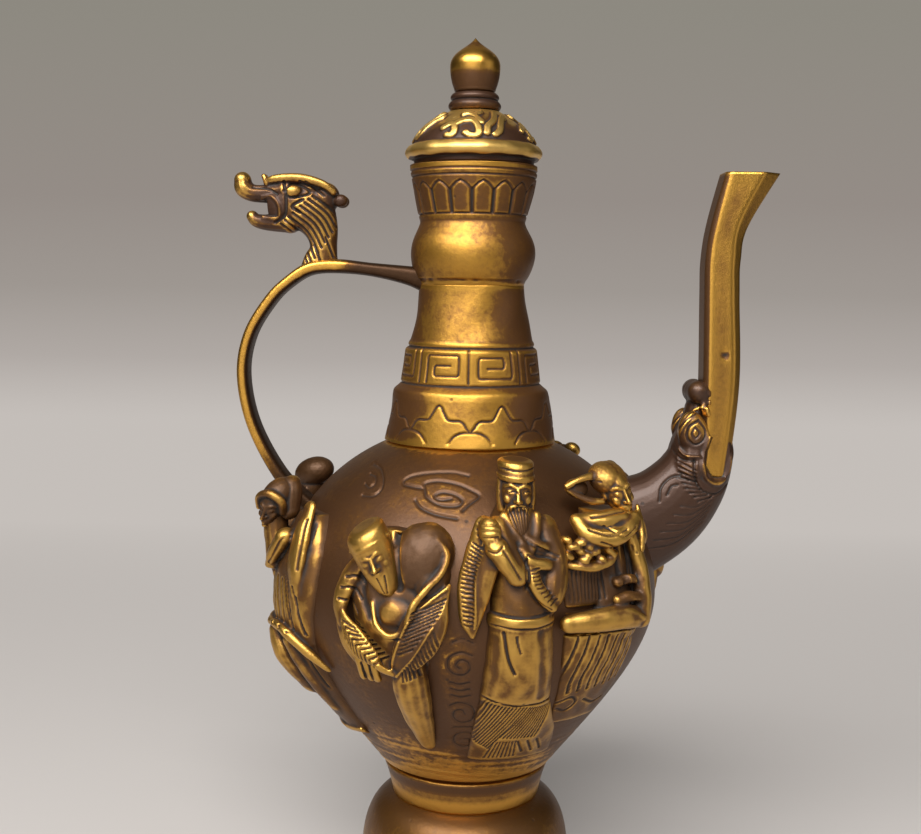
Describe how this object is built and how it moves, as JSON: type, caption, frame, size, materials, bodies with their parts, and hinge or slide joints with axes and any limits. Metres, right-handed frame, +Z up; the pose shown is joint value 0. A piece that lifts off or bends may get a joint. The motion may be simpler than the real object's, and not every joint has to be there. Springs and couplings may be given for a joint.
{
  "type": "wine ewer",
  "caption": "Cast bronze wine ewer with a round belly ringed by robed figures, a carved neck, a beast-headed spout, a dragon-headed bow handle and a lift-off domed lid.",
  "frame": {"origin": "on the pot's axis at the underside of the foot, the face it stands on", "axes": "+Z up the pot's axis, +X towards the spout, -X towards the handle"},
  "size_m": [0.1834, 0.1477, 0.29],
  "materials": {
    "bright_bronze": "polished high spots under thin brown patina",
    "worn_bronze": "rubbed relief with dark patina in the recesses",
    "dark_bronze": "dark brown patina, matt"
  },
  "bodies": {
    "pot": {"belly_bowl_front": "dark_bronze", "belly_bowl_back": "dark_bronze", "belly_shoulder_front": "dark_bronze", "belly_shoulder_back": "dark_bronze", "belly_crown": "dark_bronze", "foot_collar": "bright_bronze", "foot_bell": "bright_bronze", "foot_plate": "dark_bronze", "lower_neck": "bright_bronze", "upper_neck": "bright_bronze", "spout_tube": "bright_bronze", "spout_root": "worn_bronze", "handle_strap": "bright_bronze", "handle_dragon_head": "worn_bronze", "figure_elder": "worn_bronze", "figure_piper": "worn_bronze", "figure_porter": "worn_bronze", "figure_sash": "worn_bronze", "figure_scholar": "worn_bronze", "figure_fan": "worn_bronze", "figure_basket": "worn_bronze", "figure_lotus": "worn_bronze"},
    "lid": {"lid_dome": "worn_bronze", "lid_spigot": "dark_bronze", "finial_collar": "dark_bronze", "finial_bud": "bright_bronze", "finial_washer": "dark_bronze"}
  },
  "joints": [
    {"name": "lid_lift", "type": "slide", "parent": "pot", "child": "lid", "axis": [0, 0, 1], "range_m": [0, 0.06]}
  ]
}
